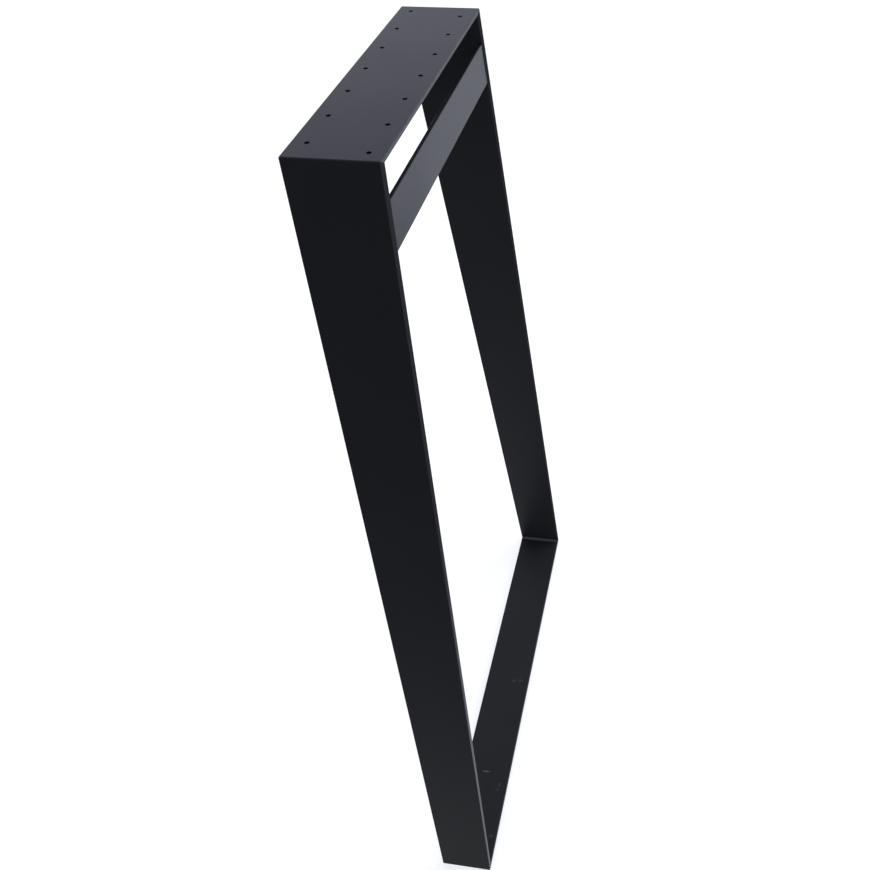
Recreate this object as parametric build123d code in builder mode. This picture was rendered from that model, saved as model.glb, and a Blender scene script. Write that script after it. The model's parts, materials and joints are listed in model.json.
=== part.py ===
"""Welded flat-bar table leg: a trapezoid frame with a screw plate on top and a brace under it.

The frame stands in the XZ plane with its base on Z = 0. The origin is the middle of the base.
"""
import os
from math import hypot

from build123d import *

# Frame, in millimetres
height = 1100.0
top_length = 320.0
base_length = 700.0
bar_width = 80.0
bar_thickness = 8.0
plate_thickness = 4.0
corner_radius = 1.5
edge_radius = 0.8

# Screw holes through the top plate, in two rows that are staggered along it
hole_diameter = 4.5
hole_columns = 7
hole_end_margin = 19.0
hole_row_spacing = 53.0
hole_stagger = 11.0

# Brace that stands on edge under the top plate
brace_height = 40.0
brace_thickness = 4.0
brace_drop = 32.0
brace_inset = 1.0

# Fillet welds
corner_weld_leg = 5.0
brace_weld_leg = 3.0
weld_crown = 0.35
weld_setback = 1.5

# The uprights lean out towards the base, so their thickness is longer when measured level
lean = (base_length - top_length) / 2
slant_length = hypot(lean, height)
level_thickness = bar_thickness * slant_length / height


def outer_half(z):
    """Half the frame's outer length at a height."""
    return base_length / 2 - lean * z / height


def inner_half(z):
    """Half the clear length between the uprights at a height."""
    return outer_half(z) - level_thickness


def outline(half, low, high):
    """Four corners of a level-topped outline, from the left foot round to the left shoulder."""
    return [
        Vector(-half(low), low),
        Vector(half(low), low),
        Vector(half(high), high),
        Vector(-half(high), high),
    ]


outer_corners = outline(outer_half, 0, height)
inner_corners = outline(inner_half, bar_thickness, height - plate_thickness)
corner_count = len(outer_corners)

# The four bars are cut from one ring, so their faces run on from one bar to the next
with BuildPart() as ring:
    with BuildSketch(Plane.XZ) as ring_outline:
        with BuildLine():
            Polyline(*outer_corners, close=True)
        make_face()
        fillet(ring_outline.vertices(), corner_radius)
        with BuildLine():
            Polyline(*inner_corners, close=True)
        make_face(mode=Mode.SUBTRACT)
    extrude(amount=bar_width / 2, both=True)
    fillet(ring.faces().filter_by(Axis.Y).edges(), edge_radius)


def mitred_bar(first):
    """Flat bar between one corner of the frame and the next, mitred where it meets its neighbours."""
    last = (first + 1) % corner_count
    with BuildPart() as bar:
        add(ring.part)
        with BuildSketch(Plane.XZ):
            with BuildLine():
                Polyline(
                    outer_corners[first],
                    outer_corners[last],
                    inner_corners[last],
                    inner_corners[first],
                    close=True,
                )
            make_face()
        extrude(amount=bar_width / 2, both=True, mode=Mode.INTERSECT)
    return bar.part


# Base bar, which stands on the floor
with BuildPart() as base_bar:
    add(mitred_bar(0))

# Uprights, leaning out from the top plate to the base bar
with BuildPart() as right_upright:
    add(mitred_bar(1))

with BuildPart() as left_upright:
    add(mitred_bar(3))

# Top plate, screwed up against the underside of a table top
hole_pitch = (top_length - 2 * hole_end_margin) / (hole_columns - 1)

with BuildPart() as top_plate:
    add(mitred_bar(2))
    hole_rows = [(side * hole_stagger / 2, side * hole_row_spacing / 2, height) for side in (-1, 1)]
    with Locations(*hole_rows):
        with GridLocations(hole_pitch, hole_row_spacing, hole_columns, 1):
            Hole(hole_diameter / 2, plate_thickness)

# Brace between the uprights, its face set just inside the edge of the bars
brace_top = height - brace_drop
brace_bottom = brace_top - brace_height
brace_outer_face = -bar_width / 2 + brace_inset
brace_inner_face = brace_outer_face + brace_thickness

with BuildPart() as brace:
    with BuildSketch(Plane.XZ.offset(-brace_outer_face)):
        with BuildLine():
            Polyline(*outline(inner_half, brace_bottom, brace_top), close=True)
        make_face()
    extrude(amount=-brace_thickness)
    level_edges = brace.edges().filter_by(Axis.X)
    fillet(level_edges, edge_radius)


def weld_section(leg_a, leg_b):
    """Mid point of a weld's crowned face, between its two toes."""
    middle = (leg_a + leg_b) / 2
    return middle + middle.normalized() * weld_crown


# Welds along the four inside corners of the frame
corner_weld_length = bar_width - 2 * weld_setback

with BuildPart() as corner_welds:
    for index, corner in enumerate(inner_corners):
        ahead = (inner_corners[(index + 1) % corner_count] - corner).normalized() * corner_weld_leg
        behind = (inner_corners[index - 1] - corner).normalized() * corner_weld_leg
        with BuildSketch(Plane.XZ):
            with BuildLine():
                ThreePointArc(corner + ahead, corner + weld_section(ahead, behind), corner + behind)
                Polyline(corner + behind, corner, corner + ahead)
            make_face()
        extrude(amount=corner_weld_length / 2, both=True)

# Welds down both ends of the brace, on the side that faces into the frame
brace_weld_length = brace_height * slant_length / height - 2 * weld_setback
brace_middle = (brace_top + brace_bottom) / 2

with BuildPart() as brace_welds:
    for side in (-1, 1):
        up_the_bar = Vector(-side * lean, 0, height).normalized()
        off_the_bar = Vector(-side * height, 0, -lean).normalized()
        end_middle = Vector(side * inner_half(brace_middle), brace_inner_face, brace_middle)
        across = Plane(end_middle, x_dir=off_the_bar, z_dir=up_the_bar)
        along_brace = Vector(brace_weld_leg, 0)
        along_bar = Vector(0, brace_weld_leg) * across.to_local_coords(Vector(0, 1, 0) + end_middle).Y
        with BuildSketch(across):
            with BuildLine():
                ThreePointArc(along_brace, weld_section(along_brace, along_bar), along_bar)
                Polyline(along_bar, (0, 0), along_brace)
            make_face()
        extrude(amount=brace_weld_length / 2, both=True)

# Named parts
os.makedirs("parts", exist_ok=True)
pieces = {
    "top_plate": top_plate,
    "left_upright": left_upright,
    "right_upright": right_upright,
    "base_bar": base_bar,
    "brace": brace,
    "corner_welds": corner_welds,
    "brace_welds": brace_welds,
}
for name, piece in pieces.items():
    piece.part.label = name
    export_step(piece.part, f"parts/{name}.step")
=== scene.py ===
"""Dress the welded flat-bar table leg: powder coats, weld beads, hole rims, the studio and the camera."""

import json
import logging
import math
from dataclasses import dataclass, field
from enum import Enum
from typing import Any, Mapping, Optional, Sequence, Union

import bmesh
import bpy
from mathutils import Matrix, Vector


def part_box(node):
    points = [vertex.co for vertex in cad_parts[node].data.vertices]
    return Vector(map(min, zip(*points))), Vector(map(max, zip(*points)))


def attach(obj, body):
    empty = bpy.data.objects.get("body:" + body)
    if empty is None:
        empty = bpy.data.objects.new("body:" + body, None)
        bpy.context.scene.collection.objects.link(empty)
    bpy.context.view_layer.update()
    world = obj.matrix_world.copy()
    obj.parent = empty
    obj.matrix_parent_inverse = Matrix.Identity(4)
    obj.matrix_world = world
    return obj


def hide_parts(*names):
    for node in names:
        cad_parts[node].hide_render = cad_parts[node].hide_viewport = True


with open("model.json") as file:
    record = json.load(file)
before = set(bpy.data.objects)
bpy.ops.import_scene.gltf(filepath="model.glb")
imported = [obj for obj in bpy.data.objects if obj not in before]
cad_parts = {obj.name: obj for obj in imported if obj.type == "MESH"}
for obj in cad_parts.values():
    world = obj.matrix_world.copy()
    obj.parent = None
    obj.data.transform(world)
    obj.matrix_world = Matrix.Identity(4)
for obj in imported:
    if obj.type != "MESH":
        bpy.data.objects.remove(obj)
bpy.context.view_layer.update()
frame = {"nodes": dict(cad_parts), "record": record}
BAR_HALF_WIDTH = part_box("base_bar")[1].y

LOG = logging.getLogger("table_leg")
BODY = "root"
MILLIMETRE = 0.001
WHITE = (1.0, 1.0, 1.0)

Triple = tuple[float, float, float]
Value = Union["Wire", float, Sequence[float]]
Inputs = Mapping[Union[str, int], Any]


class Slot(Enum):
    """Finishes that the record names for the pieces made here."""

    BARS = "bar_coat"
    WELDS = "weld_coat"


class HoleRow(Enum):
    """Rows of screw holes that the record names."""

    FRONT = "front"
    BACK = "back"


class CutEdge(Enum):
    """How the cut faces along a bar's long edges are painted: as the wide faces, with painted shade, or
    with a painted highlight low down.
    """

    EVEN = "as on the wide faces"
    # painted shade: the cut faces dark and rough
    DULL = "thin and dull"
    # a flat, rough cut tone, with a painted highlight that grows paler towards the foot
    RUBBED = "thin and dull, but rubbed pale low down"


class Wire:
    """One output of a node, on which arithmetic adds the nodes that work it out."""

    def __init__(self, board: "NodeBoard", socket: bpy.types.NodeSocket) -> None:
        """Hold a socket and the board that it is on."""
        self.board = board
        self.socket = socket

    @property
    def is_vector(self) -> bool:
        """Whether the socket carries three numbers."""
        return self.socket.type in {"VECTOR", "RGBA"}

    def __add__(self, other: Value) -> "Wire":
        """Sum of the two."""
        return self.board.sum_up("ADD", self, other)

    __radd__ = __add__

    def __sub__(self, other: Value) -> "Wire":
        """This less the other."""
        return self.board.sum_up("SUBTRACT", self, other)

    def __rsub__(self, other: Value) -> "Wire":
        """The other less this."""
        return self.board.sum_up("SUBTRACT", other, self)

    def __mul__(self, other: Value) -> "Wire":
        """Product of the two."""
        return self.board.sum_up("MULTIPLY", self, other)

    __rmul__ = __mul__

    def __truediv__(self, other: Value) -> "Wire":
        """This over the other."""
        return self.board.sum_up("DIVIDE", self, other)

    def __pow__(self, other: Value) -> "Wire":
        """This to the power of the other."""
        return self.board.sum_up("POWER", self, other)

    def call(self, operation: str, *others: Value) -> "Wire":
        """Result of any other Math operation on this and the others."""
        return self.board.sum_up(operation, self, *others)

    def clamped(self) -> "Wire":
        """This, held between 0 and 1."""
        return self.call("MAXIMUM", 0.0).call("MINIMUM", 1.0)


class NodeBoard:
    """A node tree, with one way to add any node to it."""

    def __init__(self, tree: bpy.types.NodeTree) -> None:
        """Hold the tree."""
        self.tree = tree

    def node(
        self,
        kind: str,
        settings: Optional[Mapping[str, Any]] = None,
        inputs: Optional[Inputs] = None,
    ) -> bpy.types.Node:
        """Add a node.

        Args:
            kind: the node's type.
            settings: its own properties, set before its sockets.
            inputs: values or wires for its sockets, by name or number.

        Returns:
            The new node.
        """
        made = self.tree.nodes.new(kind)
        for name, value in (settings or {}).items():
            setattr(made, name, value)
        for key, value in (inputs or {}).items():
            self.feed(made.inputs[key], value)
        return made

    def wire(
        self,
        kind: str,
        settings: Optional[Mapping[str, Any]] = None,
        inputs: Optional[Inputs] = None,
        output: Union[str, int] = 0,
    ) -> Wire:
        """Add a node and give one of its outputs.

        Args:
            kind: the node's type.
            settings: its own properties.
            inputs: values or wires for its sockets.
            output: the name or number of the output.

        Returns:
            The output as a wire.
        """
        return Wire(self, self.node(kind, settings, inputs).outputs[output])

    def feed(self, socket: bpy.types.NodeSocket, value: Any) -> None:
        """Link a wire to a socket, or set the socket's own value."""
        if isinstance(value, Wire):
            self.tree.links.new(value.socket, socket)
        else:
            socket.default_value = value

    @staticmethod
    def is_wide(term: Value) -> bool:
        """Whether a term of a sum holds three numbers."""
        return term.is_vector if isinstance(term, Wire) else not isinstance(term, (int, float))

    def sum_up(self, operation: str, *terms: Value) -> Wire:
        """Add the Math or Vector Math node for an operation.

        Args:
            operation: the node's operation.
            terms: its wires, numbers or triples, in order.

        Returns:
            The result.
        """
        wide = [term for term in terms if self.is_wide(term)]
        narrow = [term for term in terms if not self.is_wide(term)]
        if not wide:
            return self.wire("ShaderNodeMath", {"operation": operation}, dict(enumerate(terms)))
        if operation == "MULTIPLY" and narrow:
            inputs = {0: wide[0], "Scale": narrow[0]}
            return self.wire("ShaderNodeVectorMath", {"operation": "SCALE"}, inputs)
        return self.wire("ShaderNodeVectorMath", {"operation": operation}, dict(enumerate(terms)))

    def length(self, vector: Wire) -> Wire:
        """Length of a vector."""
        return self.wire("ShaderNodeVectorMath", {"operation": "LENGTH"}, {0: vector}, output="Value")

    def mix_colours(self, share: Value, first: Any, second: Any) -> Wire:
        """Colour between two, by a share from 0 to 1."""
        settings = {"data_type": "RGBA"}
        return self.wire("ShaderNodeMix", settings, {0: share, 6: first, 7: second}, output=2)


class SurfaceBoard(NodeBoard):
    """The board of a material, which knows where each point of a surface is and how it faces."""

    def __init__(self, material: bpy.types.Material) -> None:
        """Clear the material's nodes and read its Object coordinates."""
        material.use_nodes = True
        material.node_tree.nodes.clear()
        super().__init__(material.node_tree)
        coordinates = self.node("ShaderNodeTexCoord")
        self.place = Wire(self, coordinates.outputs["Object"])
        self.normal = Wire(self, coordinates.outputs["Normal"])

    def part(self, vector: Wire, axis: str) -> Wire:
        """A vector's part along an axis."""
        return self.wire("ShaderNodeSeparateXYZ", None, {"Vector": vector}, output=axis)

    def noise(self, size: float, detail: float) -> Wire:
        """Noise from 0 to 1 with features of a size in metres."""
        inputs = {"Vector": self.place, "Scale": 1.0 / size, "Detail": detail}
        return self.wire("ShaderNodeTexNoise", None, inputs)

    def put_out(self, shader: Wire) -> None:
        """Make a shader the material's surface."""
        self.node("ShaderNodeOutputMaterial", None, {"Surface": shader})


def opaque(colour: Sequence[float]) -> tuple[float, ...]:
    """Colour with a full alpha."""
    return (*colour, 1.0)


@dataclass(frozen=True)
class Scuff:
    """Pale rub mark in a coat: its place in metres, half sizes along and across, and how pale it is."""

    place: tuple[float, float]
    half_size: tuple[float, float]
    turn_deg: float
    strength: float

    def mask(self, board: SurfaceBoard, ragged: Wire) -> Wire:
        """Soft oval of the mark.

        Args:
            board: the board to draw on.
            ragged: unevenness to add to the distance from the mark's middle.

        Returns:
            How rubbed each point is, from 0 to the mark's strength.
        """
        mapped = board.wire(
            "ShaderNodeMapping",
            {"vector_type": "TEXTURE"},
            {
                "Vector": board.place,
                "Location": (*self.place, 0.0),
                "Rotation": (0.0, 0.0, math.radians(self.turn_deg)),
                "Scale": (*self.half_size, 1.0),
            },
        )
        away = board.length(mapped * (1.0, 1.0, 0.0)) + ragged
        return (1.0 - away.call("ABSOLUTE")).clamped() * self.strength


@dataclass(frozen=True)
class PowderCoat:
    """Fine-textured powder coat: its colour, gloss, grain and mottle, a painted highlight along its eased
    edges, painted shade or a painted highlight on its cut edges, and its rub marks.
    """

    name: str
    colour: Triple
    roughness: float
    gloss: float
    gloss_tint: Triple = (0.84, 0.88, 1.0)
    grain_size: float = 0.0011
    grain_detail: float = 2.0
    grain_depth: float = 0.000012
    mottle_size: float = 0.11
    mottle_detail: float = 3.0
    mottle_share: float = 0.16
    rough_spread: float = 0.05
    # pale colour painted along the eased edges as a highlight, with its share and depth
    edge_highlight_colour: Triple = (0.075, 0.077, 0.084)
    edge_highlight_share: float = 0.7
    edge_highlight_depth: float = 0.002
    edge_fade: float = 0.2
    cut_edge: CutEdge = CutEdge.EVEN
    # dark tone of the cut faces by default, which is painted shade
    cut_colour: Triple = (0.006, 0.006, 0.007)
    cut_roughness: float = 1.0
    cut_depth: float = 0.0006
    cut_focus: float = 8.0
    # pale colour and heights of the painted highlight low down on the cut faces
    low_highlight_colour: Triple = (0.11, 0.112, 0.12)
    low_highlight_heights: tuple[float, float] = (0.35, 0.75)
    scuff_colour: Triple = (0.16, 0.16, 0.17)
    scuff_ragged_size: float = 0.004
    scuff_ragged_detail: float = 4.0
    scuff_ragged_share: float = 1.2
    scuffs: tuple[Scuff, ...] = ()

    def build(self) -> bpy.types.Material:
        """Make the material.

        Returns:
            A material on Object coordinates.
        """
        material = bpy.data.materials.new(self.name)
        board = SurfaceBoard(material)
        mottle = board.noise(self.mottle_size, self.mottle_detail)
        dark = tuple(c * (1.0 - self.mottle_share) for c in self.colour)
        pale = tuple(c * (1.0 + self.mottle_share) for c in self.colour)
        colour = board.mix_colours(mottle, opaque(dark), opaque(pale))
        rough = mottle * (2.0 * self.rough_spread) + (self.roughness - self.rough_spread)
        colour, rough = self.with_edges(board, colour, rough)
        grain = board.noise(self.grain_size, self.grain_detail)
        bump = board.wire("ShaderNodeBump", None, {"Distance": self.grain_depth, "Height": grain})
        shader = board.wire(
            "ShaderNodeBsdfPrincipled",
            None,
            {
                "Base Color": self.with_scuffs(board, colour),
                "Roughness": rough,
                "Specular IOR Level": self.gloss,
                "Specular Tint": opaque(self.gloss_tint),
                "Normal": bump,
            },
        )
        board.put_out(shader)
        return material

    def near_edge(self, board: SurfaceBoard, depth: float) -> Wire:
        """1 within a depth of the bars' long edges, else 0, with a narrow fade."""
        across = board.part(board.place, "Y").call("ABSOLUTE")
        return ((across - (BAR_HALF_WIDTH - depth)) / (self.edge_fade * depth)).clamped()

    def with_edges(self, board: SurfaceBoard, colour: Wire, rough: Wire) -> tuple[Wire, Wire]:
        """Change the coat along the bars' long edges: a painted highlight where eased; where cut, rougher
        and in a painted tone (painted shade when dark), and for one coat a painted highlight low down.

        Args:
            board: the board to draw on.
            colour: the coat's colour elsewhere.
            rough: its roughness elsewhere.

        Returns:
            The colour and the roughness.
        """
        facing = board.part(board.normal, "Y").call("ABSOLUTE")
        # painted highlight mask: 0 on the flat faces, 1 midway round an eased edge
        eased_highlight = facing * (1.0 - facing) * 4.0 * self.near_edge(board, self.edge_highlight_depth)
        colour = board.mix_colours(eased_highlight * self.edge_highlight_share, colour, opaque(self.edge_highlight_colour))
        if self.cut_edge is CutEdge.EVEN:
            return colour, rough
        # cut faces: a rougher painted tone, which is painted shade when dark
        cut = facing ** self.cut_focus * self.near_edge(board, self.cut_depth)
        cut_tone = cut
        low_highlight: Optional[Wire] = None
        if self.cut_edge is CutEdge.RUBBED:
            low, high = self.low_highlight_heights
            # painted highlight on the cut faces, growing paler towards the foot
            low_highlight = cut * ((high - board.part(board.place, "Z")) / (high - low)).clamped()
            cut_tone = cut - low_highlight
        colour = board.mix_colours(cut_tone, colour, opaque(self.cut_colour))
        if low_highlight is not None:
            colour = board.mix_colours(low_highlight, colour, opaque(self.low_highlight_colour))
        return colour, rough + (self.cut_roughness - rough) * cut_tone

    def with_scuffs(self, board: SurfaceBoard, colour: Wire) -> Wire:
        """The coat's colour with its rub marks."""
        if not self.scuffs:
            return colour
        noise = board.noise(self.scuff_ragged_size, self.scuff_ragged_detail)
        ragged = (noise - 0.5) * self.scuff_ragged_share
        first, *others = (scuff.mask(board, ragged) for scuff in self.scuffs)
        worn = first
        for mask in others:
            worn = worn.call("MAXIMUM", mask)
        return board.mix_colours(worn, colour, opaque(self.scuff_colour))


@dataclass(frozen=True)
class FrameLines:
    """Inside lines of the frame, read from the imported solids."""

    low: float
    high: float
    low_half: float
    slope: float

    @classmethod
    def from_frame(cls) -> "FrameLines":
        """Read the inside corners from the welds' box and the lean from the brace's."""
        weld_low, weld_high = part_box("corner_welds")
        brace_low, brace_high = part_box("brace")
        slope = (weld_high.x - brace_high.x) / (brace_low.z - weld_low.z)
        return cls(weld_low.z, weld_high.z, weld_high.x, slope)

    def half(self, z: float) -> float:
        """Half the clear length between the uprights at a height."""
        return self.low_half - self.slope * (z - self.low)

    def up_bar(self, side: int) -> Vector:
        """Direction up the inside of an upright, on the side of -X or +X."""
        return Vector((-side * self.slope, 0.0, 1.0)).normalized()

    def off_bar(self, side: int) -> Vector:
        """Direction square off the inside face of an upright."""
        return Vector((-side, 0.0, -self.slope)).normalized()


class GeometryTree:
    """A Geometry Nodes tree under construction, with named inputs for its sizes."""

    def __init__(self, name: str, inputs: Mapping[str, str]) -> None:
        """Start a tree.

        Args:
            name: the tree's name.
            inputs: each input's name and its socket type without the NodeSocket prefix.
        """
        self.tree = bpy.data.node_groups.new(name, "GeometryNodeTree")
        self.board = NodeBoard(self.tree)
        self.identifiers: dict[str, str] = {}
        for label, kind in inputs.items():
            made = self.tree.interface.new_socket(label, in_out="INPUT", socket_type=f"NodeSocket{kind}")
            self.identifiers[label] = made.identifier
        self.tree.interface.new_socket("Geometry", in_out="OUTPUT", socket_type="NodeSocketGeometry")
        self.entry = self.board.node("NodeGroupInput")

    def given(self, label: str) -> Wire:
        """Wire from one named input."""
        return Wire(self.board, self.entry.outputs[label])

    def close(self, geometry: Wire) -> None:
        """Realize, coat and put out the geometry."""
        real = self.board.wire("GeometryNodeRealizeInstances", None, {"Geometry": geometry})
        inputs = {"Geometry": real, "Material": self.given("Coat")}
        coated = self.board.wire("GeometryNodeSetMaterial", None, inputs)
        self.board.node("NodeGroupOutput", None, {"Geometry": coated})

    def mesh(self, values: Mapping[str, Any]) -> bpy.types.Mesh:
        """Run the tree once.

        Args:
            values: a value for each named input.

        Returns:
            A plain mesh, with no modifier left.
        """
        holder = bpy.data.objects.new("holder", bpy.data.meshes.new("holder"))
        bpy.context.scene.collection.objects.link(holder)
        modifier = holder.modifiers.new(self.tree.name, "NODES")
        modifier.node_group = self.tree
        for label, value in values.items():
            modifier[self.identifiers[label]] = value
        depsgraph = bpy.context.evaluated_depsgraph_get()
        mesh = bpy.data.meshes.new_from_object(holder.evaluated_get(depsgraph))
        holder.modifiers.remove(modifier)
        bpy.data.objects.remove(holder)
        return mesh


def join_meshes(
    name: str,
    meshes: Sequence[bpy.types.Mesh],
    material: bpy.types.Material,
) -> bpy.types.Object:
    """Make one object of several meshes, at the origin, with outward faces.

    Args:
        name: the piece's name.
        meshes: meshes that are in place.
        material: the finish of all of them.

    Returns:
        The new object, linked to the scene.
    """
    joined = bmesh.new()
    for mesh in meshes:
        joined.from_mesh(mesh)
    bmesh.ops.recalc_face_normals(joined, faces=joined.faces)
    result = bpy.data.meshes.new(name)
    joined.to_mesh(result)
    joined.free()
    result.materials.clear()
    result.materials.append(material)
    made = bpy.data.objects.new(name, result)
    bpy.context.scene.collection.objects.link(made)
    return made


@dataclass
class WeldBeads:
    """Rippled fillet welds in the inside corners and at the brace's ends."""

    lines: FrameLines
    coat: bpy.types.Material
    corner_leg: float = 0.005
    brace_leg: float = 0.003
    setback: float = 0.0015
    crown: float = 0.00045
    ripple_pitch: float = 0.0042
    ripple_height: float = 0.00042
    crescent: float = 0.55
    uneven_rate: float = 0.6
    uneven_phase: float = 0.5
    least_ripple: float = 0.5
    end_shrink: float = 0.5
    end_focus: float = 14.0
    steps_per_ripple: int = 8
    points_around: int = 16
    face_share: float = 0.75
    face_margin: float = 0.001
    side_seed: float = 7.0
    level_seed: float = 3.0
    brace_seed: float = 31.0
    tree: GeometryTree = field(init=False)

    def __post_init__(self) -> None:
        """Build the tree that the beads share."""
        self.tree = self.bead_tree()

    def bead_tree(self) -> GeometryTree:
        """Sweep of a crowned fillet along a run, raised in crescent ripples.

        Returns:
            The tree.
        """
        made = GeometryTree(
            "rippled_bead",
            {
                "Start": "Vector",
                "Run": "Vector",
                "First Toe": "Vector",
                "Second Toe": "Vector",
                "Steps": "Int",
                "Ripples": "Float",
                "Crown": "Float",
                "Ripple Height": "Float",
                "Seed": "Float",
                "Coat": "Material",
            },
        )
        board = made.board
        line = board.wire("GeometryNodeCurvePrimitiveLine", None, {"End": (1.0, 0.0, 0.0)})
        line = board.wire("GeometryNodeResampleCurve", None, {"Curve": line, "Count": made.given("Steps")})
        ring = board.wire("GeometryNodeCurvePrimitiveCircle", None, {"Resolution": self.points_around})
        line, along = self.remember(board, line, "along")
        ring, around = self.remember(board, ring, "around")
        sweep = {"Curve": line, "Profile Curve": ring, "Fill Caps": True}
        tube = board.wire("GeometryNodeCurveToMesh", None, sweep)
        root = made.given("Start") + made.given("Run") * along
        place = root + self.section(made, along, around)
        placed = board.wire("GeometryNodeSetPosition", None, {"Geometry": tube, "Position": place})
        smooth = board.wire("GeometryNodeSetShadeSmooth", None, {"Geometry": placed})
        made.close(smooth)
        return made

    def remember(self, board: NodeBoard, curve: Wire, label: str) -> tuple[Wire, Wire]:
        """Keep each curve point's share of the length.

        Args:
            board: the board to draw on.
            curve: the curve.
            label: the name of what is kept.

        Returns:
            The curve, and the kept share.
        """
        share = board.wire("GeometryNodeSplineParameter", output="Factor")
        keep = board.node("GeometryNodeCaptureAttribute")
        keep.capture_items.new("FLOAT", label)
        board.feed(keep.inputs[0], curve)
        board.feed(keep.inputs[1], share)
        return Wire(board, keep.outputs[0]), Wire(board, keep.outputs[1])

    def section(self, made: GeometryTree, along: Wire, around: Wire) -> Wire:
        """Point of the bead's section, from its root: out over the crowned face, then back along the bars.

        Args:
            made: the tree.
            along: share of the run, from 0 to 1.
            around: share of the way round the section.

        Returns:
            The offset from the root.
        """
        first, second = made.given("First Toe"), made.given("Second Toe")
        over = (around / self.face_share).clamped()
        across = over * 2.0 - 1.0
        arch = 1.0 - across * across
        middle = first + second
        outward = made.board.wire("ShaderNodeVectorMath", {"operation": "NORMALIZE"}, {0: middle})
        rise = (made.given("Crown") + self.ripples(made, along, across)) * arch
        face = first * (1.0 - over) + second * over + outward * rise
        back = ((around - self.face_share) / (1.0 - self.face_share)).clamped()
        inside = second * (1.0 - back * 2.0).clamped() + first * (back * 2.0 - 1.0).clamped()
        on_face = around.call("LESS_THAN", self.face_share + self.face_margin)
        end = (along * 2.0 - 1.0).call("ABSOLUTE") ** self.end_focus
        return (face * on_face + inside * (1.0 - on_face)) * (1.0 - end * self.end_shrink)

    def ripples(self, made: GeometryTree, along: Wire, across: Wire) -> Wire:
        """Height of the crescent ripples, a little uneven from one to the next."""
        count = made.given("Ripples")
        phase = along * count - across * across * self.crescent
        uneven = made.board.wire(
            "ShaderNodeTexNoise",
            {"noise_dimensions": "1D"},
            {"W": along * count * self.uneven_rate + made.given("Seed"), "Detail": 1.0},
        )
        wave = ((phase + uneven * self.uneven_phase).call("FRACT") * math.pi).call("SINE")
        return wave * (uneven + self.least_ripple) * made.given("Ripple Height")

    def bead(self, middle: Vector, run: Vector, toes: tuple[Vector, Vector], seed: float) -> bpy.types.Mesh:
        """Mesh of one bead.

        Args:
            middle: the middle of its root line.
            run: from its start to its end.
            toes: from the root to its two toes.
            seed: where its unevenness is read.

        Returns:
            The mesh.
        """
        ripples = run.length / self.ripple_pitch
        return self.tree.mesh(
            {
                "Start": middle - run / 2,
                "Run": run,
                "First Toe": toes[0],
                "Second Toe": toes[1],
                "Steps": round(ripples * self.steps_per_ripple),
                "Ripples": ripples,
                "Crown": self.crown,
                "Ripple Height": self.ripple_height,
                "Seed": seed,
                "Coat": self.coat,
            }
        )

    def corner_beads(self) -> bpy.types.Object:
        """Beads along the four inside corners, in place of the plain ones."""
        run = Vector((0.0, 2.0 * (BAR_HALF_WIDTH - self.setback), 0.0))
        meshes = []
        for side in (-1, 1):
            for z, level in ((self.lines.low, 1), (self.lines.high, -1)):
                root = Vector((side * self.lines.half(z), 0.0, z))
                along_bar = Vector((-side * self.corner_leg, 0.0, 0.0))
                up_bar = self.lines.up_bar(side) * (level * self.corner_leg)
                seed = self.side_seed * side + self.level_seed * level
                meshes.append(self.bead(root, run, (along_bar, up_bar), seed))
        return self.finish("corner_weld_beads", "corner_welds", meshes)

    def brace_beads(self) -> bpy.types.Object:
        """Beads down both ends of the brace, in place of the plain ones."""
        brace_low, brace_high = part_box("brace")
        middle_z = (brace_low.z + brace_high.z) / 2
        meshes = []
        for side in (-1, 1):
            up = self.lines.up_bar(side)
            run = up * ((brace_high.z - brace_low.z) / up.z - 2.0 * self.setback)
            root = Vector((side * self.lines.half(middle_z), brace_high.y, middle_z))
            toes = (self.lines.off_bar(side) * self.brace_leg, Vector((0.0, self.brace_leg, 0.0)))
            meshes.append(self.bead(root, run, toes, self.brace_seed + side))
        return self.finish("brace_weld_beads", "brace_welds", meshes)

    def finish(self, name: str, node: str, meshes: Sequence[bpy.types.Mesh]) -> bpy.types.Object:
        """Join beads into one piece that stands for a solid."""
        piece = join_meshes(name, meshes, self.coat)
        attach(piece, BODY)
        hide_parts(node)
        return piece

    def build(self) -> list[bpy.types.Object]:
        """Make all the beads."""
        return [self.corner_beads(), self.brace_beads()]


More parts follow.
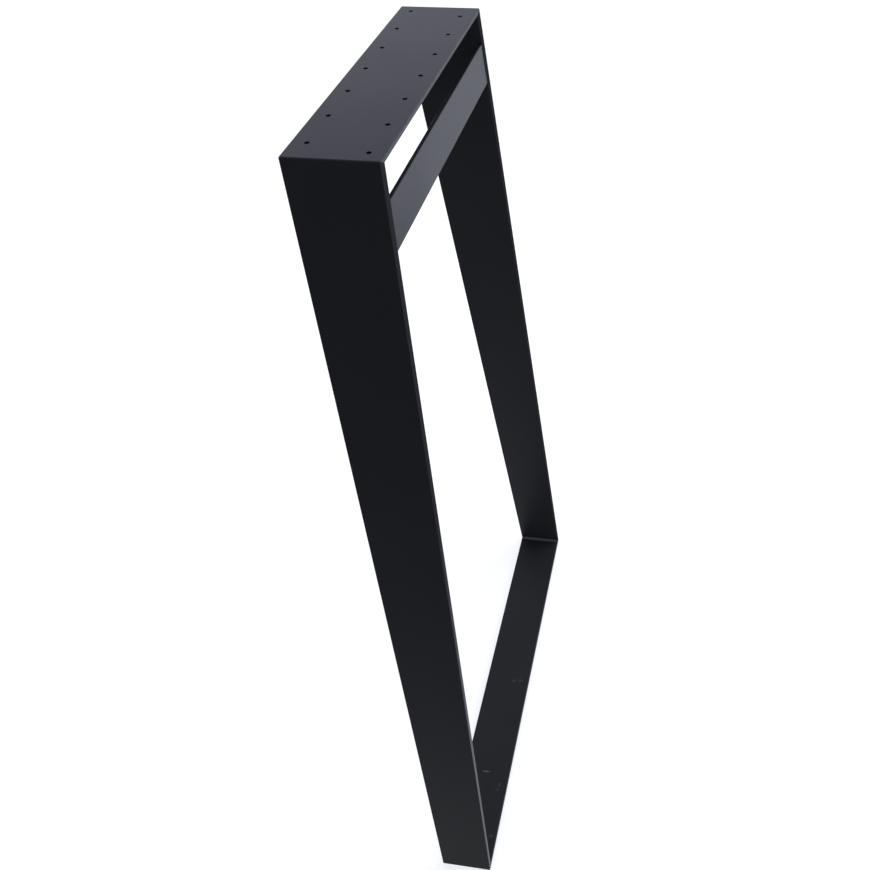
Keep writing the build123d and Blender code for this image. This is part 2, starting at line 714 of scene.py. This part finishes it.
@dataclass
class HoleRims:
    """Rounded lips that the coat makes in the mouths of the screw holes."""

    coat: bpy.types.Material
    lip_radius: float = 0.00032
    overlap: float = 0.00012
    ring_points: int = 40
    lip_points: int = 10

    def rim_tree(self) -> GeometryTree:
        """Rings along a row of holes.

        Returns:
            The tree.
        """
        made = GeometryTree(
            "hole_rims",
            {
                "First": "Vector",
                "Step": "Vector",
                "Columns": "Int",
                "Ring Radius": "Float",
                "Lip Radius": "Float",
                "Coat": "Material",
            },
        )
        board = made.board
        row = board.wire(
            "GeometryNodeMeshLine",
            {"mode": "OFFSET"},
            {
                "Count": made.given("Columns"),
                "Start Location": made.given("First"),
                "Offset": made.given("Step"),
            },
        )
        ring_size = {"Resolution": self.ring_points, "Radius": made.given("Ring Radius")}
        ring = board.wire("GeometryNodeCurvePrimitiveCircle", None, ring_size)
        lip_size = {"Resolution": self.lip_points, "Radius": made.given("Lip Radius")}
        lip = board.wire("GeometryNodeCurvePrimitiveCircle", None, lip_size)
        rim = board.wire("GeometryNodeCurveToMesh", None, {"Curve": ring, "Profile Curve": lip})
        rim = board.wire("GeometryNodeSetShadeSmooth", None, {"Geometry": rim})
        rims = board.wire("GeometryNodeInstanceOnPoints", None, {"Points": row, "Instance": rim})
        made.close(rims)
        return made

    def build(self) -> bpy.types.Object:
        """Make the lips of both faces of the plate, from the record's hole patterns.

        Returns:
            The piece.
        """
        patterns = {mount["name"]: mount for mount in frame["record"]["mounts"]}
        plate_low, plate_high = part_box("top_plate")
        levels = (plate_low.z + self.lip_radius, plate_high.z - self.lip_radius)
        tree = self.rim_tree()
        meshes = []
        for row in HoleRow:
            outer, inner = patterns[f"screws_{row.value}_outer"], patterns[f"screws_{row.value}_third"]
            length = outer["dims"]["spacing_x_mm"] * MILLIMETRE
            pitch = inner["dims"]["spacing_x_mm"] * MILLIMETRE / 2
            values = {
                "Step": Vector((pitch, 0.0, 0.0)),
                "Columns": round(length / pitch) + 1,
                "Ring Radius": outer["dims"]["hole_r_mm"] * MILLIMETRE + self.lip_radius - 2 * self.overlap,
                "Lip Radius": self.lip_radius,
                "Coat": self.coat,
            }
            x, y, _ = outer["pos_m"]
            for level in levels:
                first = Vector((x - length / 2, y, level))
                meshes.append(tree.mesh({**values, "First": first}))
        piece = join_meshes("screw_hole_rims", meshes, self.coat)
        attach(piece, BODY)
        return piece


@dataclass
class BarFrame:
    """The flat bars themselves, which keep the shape of their solids."""

    coats: Mapping[str, bpy.types.Material]

    def dress(self) -> list[bpy.types.Object]:
        """Give each bar its coat.

        Returns:
            The bars.
        """
        dressed = []
        for name, material in self.coats.items():
            bar = frame["nodes"][name]
            bar.data.materials.clear()
            bar.data.materials.append(material)
            dressed.append(bar)
        return dressed


@dataclass(frozen=True)
class SoftLamp:
    """Square soft lamp: where it hangs, what it points at, its side in metres and its power in watts."""

    name: str
    place: Triple
    target: Triple
    size: float
    power: float

    def build(self, colour: Triple) -> None:
        """Hang the lamp and light it in a colour."""
        data = bpy.data.lights.new(self.name, "AREA")
        data.size = self.size
        data.energy = self.power
        data.color = colour
        lamp = bpy.data.objects.new(self.name, data)
        bpy.context.scene.collection.objects.link(lamp)
        lamp.location = self.place
        aim = Vector(self.target) - Vector(self.place)
        lamp.rotation_euler = aim.to_track_quat("-Z", "Y").to_euler()


@dataclass
class Studio:
    """Pale floor, white surround and soft lamps."""

    floor_half: float = 14.0
    floor_grey: float = 0.42
    floor_glow: float = 0.68
    glow_per_metre: float = 0.045
    most_glow: float = 0.86
    ambient: float = 0.45
    daylight: Triple = (0.82, 0.865, 1.0)
    lamps: tuple[SoftLamp, ...] = (
        SoftLamp("overhead_lamp", (0.2, -0.2, 3.2), (0.0, 0.0, 0.5), 2.4, 38.0),
        SoftLamp("back_lamp", (1.9, 1.0, 2.1), (0.0, 0.0, 1.0), 2.0, 16.0),
        SoftLamp("side_lamp", (1.4, -1.4, 0.7), (0.0, 0.0, 0.9), 1.6, 42.0),
    )

    def build(self) -> None:
        """Make the floor, the world and the lamps."""
        self.make_floor()
        self.make_world()
        for lamp in self.lamps:
            lamp.build(self.daylight)

    @staticmethod
    def seen(board: NodeBoard) -> Wire:
        """1 for rays that come from the camera, a reflection or through glass, else 0."""
        path = board.node("ShaderNodeLightPath")
        camera, glossy, through = (
            Wire(board, path.outputs[f"Is {kind} Ray"]) for kind in ("Camera", "Glossy", "Transmission")
        )
        return camera.call("MAXIMUM", glossy).call("MAXIMUM", through)

    def floor_white(self) -> bpy.types.Material:
        """Matt material that looks white where nothing shades it, also where the lamps reach it less.

        Returns:
            The material.
        """
        material = bpy.data.materials.new("floor_white")
        board = SurfaceBoard(material)
        matt = board.wire("ShaderNodeBsdfDiffuse", None, {"Color": opaque((self.floor_grey,) * 3)})
        level = board.length(board.place) * self.glow_per_metre + self.floor_glow
        strength = self.seen(board) * level.call("MINIMUM", self.most_glow)
        glow = board.wire("ShaderNodeEmission", None, {"Strength": strength})
        board.put_out(board.wire("ShaderNodeAddShader", None, {0: matt, 1: glow}))
        return material

    def make_floor(self) -> None:
        """Lay the floor under the leg."""
        mesh = bpy.data.meshes.new("studio_floor")
        half = self.floor_half
        corners = [(-half, -half, 0.0), (half, -half, 0.0), (half, half, 0.0), (-half, half, 0.0)]
        mesh.from_pydata(corners, [], [(0, 1, 2, 3)])
        mesh.materials.append(self.floor_white())
        floor = bpy.data.objects.new("studio_floor", mesh)
        bpy.context.scene.collection.objects.link(floor)

    def make_world(self) -> None:
        """Surround the leg with white that lights it softly."""
        world = bpy.data.worlds.new("studio")
        world.use_nodes = True
        world.node_tree.nodes.clear()
        board = NodeBoard(world.node_tree)
        fill = tuple(c * self.ambient for c in self.daylight)
        colour = board.mix_colours(self.seen(board), opaque(fill), opaque(WHITE))
        white = board.wire("ShaderNodeBackground", None, {"Color": colour})
        board.node("ShaderNodeOutputWorld", None, {"Surface": white})
        bpy.context.scene.world = world


@dataclass(frozen=True)
class PhotoCamera:
    """The photograph's camera: near, above the leg and a little to one side."""

    place: Triple = (-0.69815, -0.27280, 1.37246)
    heading_deg: float = 9.9198
    pitch_deg: float = -50.0866
    roll_deg: float = -2.0447
    focal_px: float = 783.34
    centre_px: tuple[float, float] = (579.58, 513.03)
    picture_px: float = 870.0
    sensor_mm: float = 36.0

    def turn(self) -> Matrix:
        """Work out how the camera is turned.

        Returns:
            Its rotation, with its right, its up and the way back from its view as columns.
        """
        heading, pitch, roll = (math.radians(a) for a in (self.heading_deg, self.pitch_deg, self.roll_deg))
        level_ahead = Vector((math.cos(heading), math.sin(heading), 0.0))
        ahead = level_ahead * math.cos(pitch) + Vector((0.0, 0.0, math.sin(pitch)))
        level = ahead.cross(Vector((0.0, 0.0, 1.0))).normalized()
        right = level * math.cos(roll) + level.cross(ahead) * math.sin(roll)
        return Matrix((right, right.cross(ahead), -ahead)).transposed()

    def build(self) -> None:
        """Make the camera and look through it."""
        data = bpy.data.cameras.new("photo_camera")
        data.sensor_width = self.sensor_mm
        data.lens = self.focal_px * self.sensor_mm / self.picture_px
        data.shift_x = 0.5 - self.centre_px[0] / self.picture_px
        data.shift_y = self.centre_px[1] / self.picture_px - 0.5
        camera = bpy.data.objects.new("photo_camera", data)
        bpy.context.scene.collection.objects.link(camera)
        camera.matrix_world = Matrix.Translation(Vector(self.place)) @ self.turn().to_4x4()
        bpy.context.scene.camera = camera


BAR_COAT = PowderCoat("matt_black_coat", (0.0150, 0.0147, 0.0212), roughness=0.42, gloss=0.042)
# left upright: a flat tone on its cut edges, with a painted highlight growing towards the foot
LEFT_COAT = PowderCoat(
    "black_coat_painted_low_edge_highlight",
    (0.0164, 0.0174, 0.0190),
    BAR_COAT.roughness,
    gloss=0.032,
    cut_edge=CutEdge.RUBBED,
    cut_colour=(0.022, 0.0224, 0.0238),
)
# right upright: the same black painted paler than on the other bars, standing in for light on its inner
# face, with painted shade on its cut edges
RIGHT_COAT = PowderCoat(
    "paler_black_coat_painted_edge_shade",
    (0.0245, 0.0258, 0.0278),
    BAR_COAT.roughness,
    BAR_COAT.gloss,
    cut_edge=CutEdge.DULL,
)
BASE_COAT = PowderCoat(
    "scuffed_black_coat",
    (0.0184, 0.0196, 0.0204),
    BAR_COAT.roughness,
    BAR_COAT.gloss,
    scuffs=(
        Scuff((-0.1894, 0.0021), (0.0022, 0.0085), 4.0, 0.62),
        Scuff((-0.2101, -0.0268), (0.0060, 0.0018), 2.6, 0.3),
        Scuff((-0.2192, -0.0242), (0.0044, 0.0018), -66.0, 0.22),
        Scuff((-0.0075, -0.0119), (0.0035, 0.0055), 20.0, 0.18),
        Scuff((-0.0057, -0.0253), (0.0040, 0.0060), -25.0, 0.18),
        Scuff((-0.2978, -0.0305), (0.0032, 0.0060), 10.0, 0.22),
    ),
)
WELD_COAT = PowderCoat(
    "weld_black_coat",
    (0.024, 0.025, 0.029),
    roughness=0.3,
    gloss=0.36,
    mottle_size=0.02,
    edge_highlight_share=0.0,
)


def main() -> None:
    """Build every piece and report it."""
    logging.basicConfig(level=logging.INFO, format="%(name)s: %(message)s")
    bpy.context.scene.view_settings.view_transform = "Standard"
    coat = BAR_COAT.build()
    coats = {
        "top_plate": coat,
        "left_upright": LEFT_COAT.build(),
        "right_upright": RIGHT_COAT.build(),
        "base_bar": BASE_COAT.build(),
        "brace": coat,
    }
    pieces = BarFrame(coats).dress()
    pieces += WeldBeads(FrameLines.from_frame(), WELD_COAT.build()).build()
    pieces.append(HoleRims(coat).build())
    for piece in pieces:
        LOG.info("%s: %d faces, %s", piece.name, len(piece.data.polygons), piece.data.materials[0].name)
    Studio().build()
    PhotoCamera().build()


if __name__ == "__main__":
    main()
